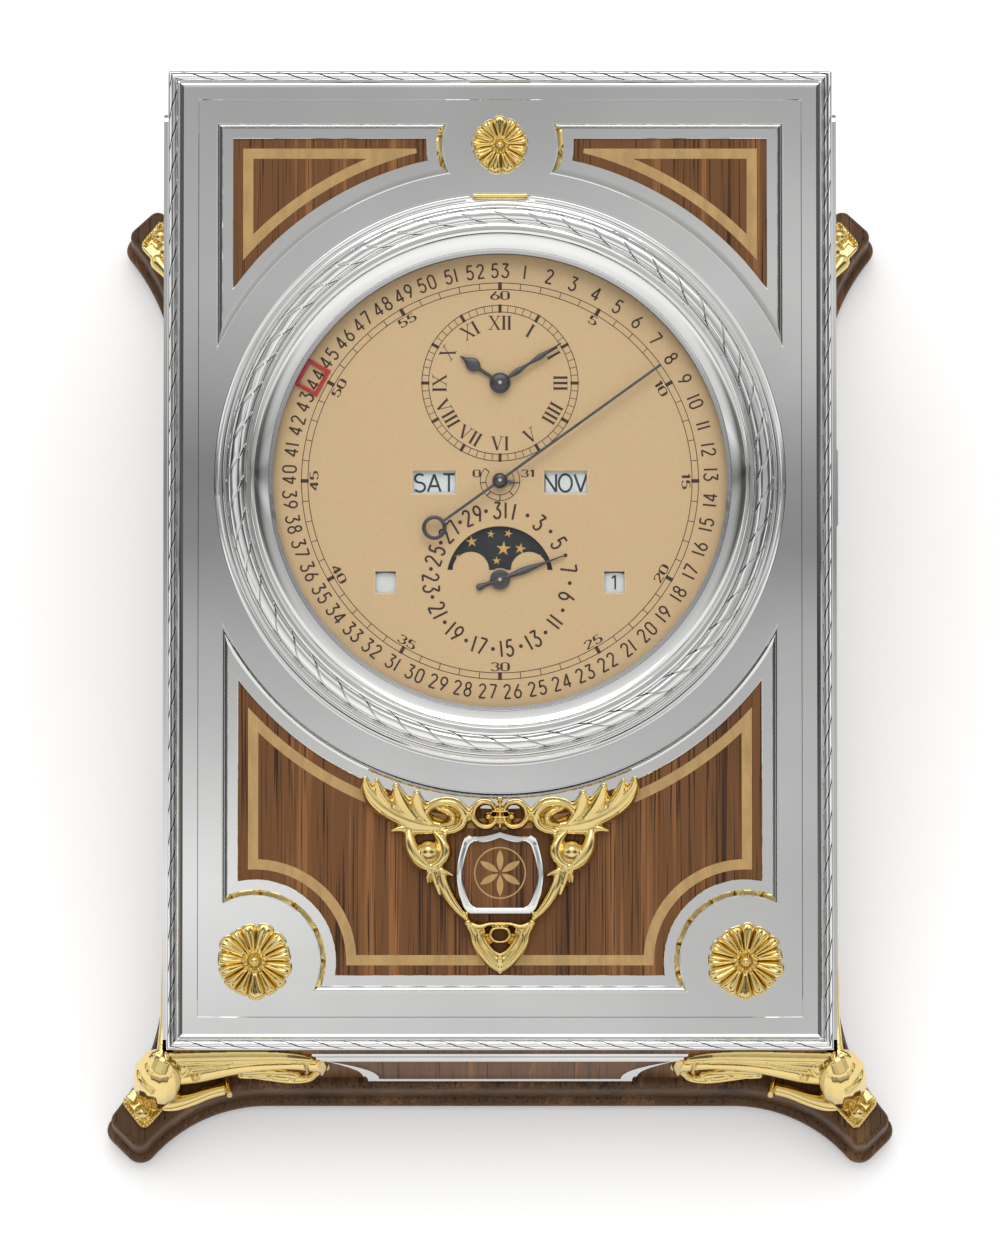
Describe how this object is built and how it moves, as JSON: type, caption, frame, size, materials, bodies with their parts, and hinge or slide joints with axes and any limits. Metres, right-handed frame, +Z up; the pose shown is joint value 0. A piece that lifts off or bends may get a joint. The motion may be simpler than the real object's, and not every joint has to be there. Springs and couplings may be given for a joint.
{
  "type": "desk clock",
  "caption": "Desk clock with a sloping silver and walnut face, a calendar dial under a hinged glazed bezel, gilt leaf mounts and a walnut base on splayed feet.",
  "frame": {"origin": "middle of the footprint, on the table", "axes": "+Z up, front of the clock towards -Y, +X to the right seen from the front"},
  "size_m": [0.125, 0.1646, 0.0763],
  "materials": {
    "walnut": "polished walnut, vertical grain",
    "burr": "polished walnut veneer",
    "maple": "light stringing, polished",
    "felt": "felt",
    "silver": "polished and satin silver",
    "gilt": "gilt, satin and burnished",
    "steel": "satin",
    "plated": "grained, plated",
    "brass": "satin",
    "crystal": "clear, domed",
    "dial_paint": "satin, printed",
    "hands": "dark polished",
    "night_paint": "dark, gilt stars",
    "white_paint": "bluish white, printed",
    "red_paint": "red enamel"
  },
  "bodies": {
    "case": {"base_plinth": "walnut", "felt_pads": "felt", "bottom_cover": "steel", "cover_screws": "steel", "case_shell": "walnut", "front_cartouche": "silver", "front_inlay": "burr", "left_frame": "silver", "left_panel": "burr", "right_frame": "silver", "right_panel": "burr", "rear_frame": "silver", "rear_panel": "burr", "front_left_mount": "gilt", "front_right_mount": "gilt", "rear_left_mount": "gilt", "rear_right_mount": "gilt", "face_plate": "silver", "rope_frame": "silver", "upper_left_inlay": "burr", "upper_right_inlay": "burr", "lower_inlay": "burr", "upper_left_string": "maple", "upper_right_string": "maple", "lower_string": "maple", "top_rosette": "gilt", "left_rosette": "gilt", "right_rosette": "gilt", "acanthus_mount": "gilt", "shield_frame": "silver", "shield_inlay": "burr", "hinge_pin": "steel", "dial_flange": "silver", "dial": "dial_paint", "push_spring": "steel", "push_bracket": "steel", "movement_plate": "plated", "back_plate": "plated", "pillars": "brass", "plate_screws": "steel"},
    "bezel": {"bezel": "silver", "bezel_crystal": "crystal"},
    "hour_hand": {"hour_hand": "hands"},
    "minute_hand": {"minute_hand": "hands"},
    "minute_wheel": {"minute_wheel": "brass"},
    "seconds_hand": {"seconds_hand": "hands"},
    "reserve_hand": {"reserve_hand": "hands"},
    "date_hand": {"date_hand": "hands"},
    "moon_disc": {"moon_disc": "night_paint"},
    "day_disc": {"day_disc": "white_paint"},
    "month_disc": {"month_disc": "white_paint"},
    "day_night_disc": {"day_night_disc": "white_paint"},
    "leap_disc": {"leap_disc": "white_paint"},
    "week_ring": {"week_ring": "red_paint"},
    "push_piece": {"push_piece": "silver"},
    "left_barrel": {"left_barrel": "brass"},
    "right_barrel": {"right_barrel": "brass"}
  },
  "joints": [
    {"name": "bezel_hinge", "type": "hinge", "parent": "case", "child": "bezel", "pos_m": [0, 0.05484, 0.07109], "axis": [-1, 0, 0], "range_deg": [0, 100]},
    {"name": "push_slide", "type": "slide", "parent": "case", "child": "push_piece", "axis": [-1, 0, 0], "range_m": [0, 0.0008], "stiffness_N_per_m": 300, "springref_m": -0.002, "deforming": ["push_spring"]},
    {"name": "minute_turn", "type": "hinge", "parent": "case", "child": "minute_hand", "pos_m": [0, 0.02808, 0.05913], "axis": [0, 0.3289, -0.9444], "continuous": true},
    {"name": "hour_turn", "type": "hinge", "parent": "case", "child": "hour_hand", "pos_m": [0, 0.02808, 0.05913], "axis": [0, 0.3289, -0.9444], "continuous": true},
    {"name": "minute_wheel_turn", "type": "hinge", "parent": "case", "child": "minute_wheel", "pos_m": [0.006, 0.02808, 0.05913], "axis": [0, 0.3289, -0.9444], "continuous": true},
    {"name": "day_night_turn", "type": "hinge", "parent": "case", "child": "day_night_disc", "pos_m": [-0.01795, -0.00629, 0.04716], "axis": [0, 0.3289, -0.9444], "continuous": true},
    {"name": "seconds_turn", "type": "hinge", "parent": "case", "child": "seconds_hand", "pos_m": [0, 0.01354, 0.05406], "axis": [0, 0.3289, -0.9444], "continuous": true},
    {"name": "reserve_turn", "type": "hinge", "parent": "case", "child": "reserve_hand", "pos_m": [0, 0.01354, 0.05406], "axis": [0, 0.3289, -0.9444], "range_deg": [-34, 199]},
    {"name": "date_turn", "type": "hinge", "parent": "case", "child": "date_hand", "pos_m": [0, -0.0011, 0.04896], "axis": [0, 0.3289, -0.9444], "continuous": true},
    {"name": "moon_turn", "type": "hinge", "parent": "case", "child": "moon_disc", "pos_m": [0, -0.0011, 0.04896], "axis": [0, 0.3289, -0.9444], "continuous": true},
    {"name": "day_turn", "type": "hinge", "parent": "case", "child": "day_disc", "pos_m": [-0.02085, 0.01354, 0.05406], "axis": [0, 0.3289, -0.9444], "continuous": true},
    {"name": "month_turn", "type": "hinge", "parent": "case", "child": "month_disc", "pos_m": [0.02085, 0.01354, 0.05406], "axis": [0, 0.3289, -0.9444], "continuous": true},
    {"name": "leap_turn", "type": "hinge", "parent": "case", "child": "leap_disc", "pos_m": [0.01795, -0.00629, 0.04716], "axis": [0, 0.3289, -0.9444], "continuous": true},
    {"name": "week_turn", "type": "hinge", "parent": "case", "child": "week_ring", "pos_m": [0, 0.01354, 0.05406], "axis": [0, 0.3289, -0.9444], "continuous": true},
    {"name": "left_barrel_turn", "type": "hinge", "parent": "case", "child": "left_barrel", "pos_m": [-0.0195, -0.0359, 0.03685], "axis": [0, 0.3289, -0.9444], "continuous": true},
    {"name": "right_barrel_turn", "type": "hinge", "parent": "case", "child": "right_barrel", "pos_m": [0.0195, -0.0359, 0.03685], "axis": [0, 0.3289, -0.9444], "continuous": true}
  ],
  "couplings": [
    {"joint": "hour_turn", "follows": "minute_turn", "ratio": 0.083333},
    {"joint": "minute_wheel_turn", "follows": "minute_turn", "ratio": -0.33333},
    {"joint": "day_night_turn", "follows": "minute_turn", "ratio": 0.041667},
    {"joint": "leap_turn", "follows": "month_turn", "ratio": 0.25},
    {"joint": "right_barrel_turn", "follows": "left_barrel_turn", "ratio": -1}
  ]
}
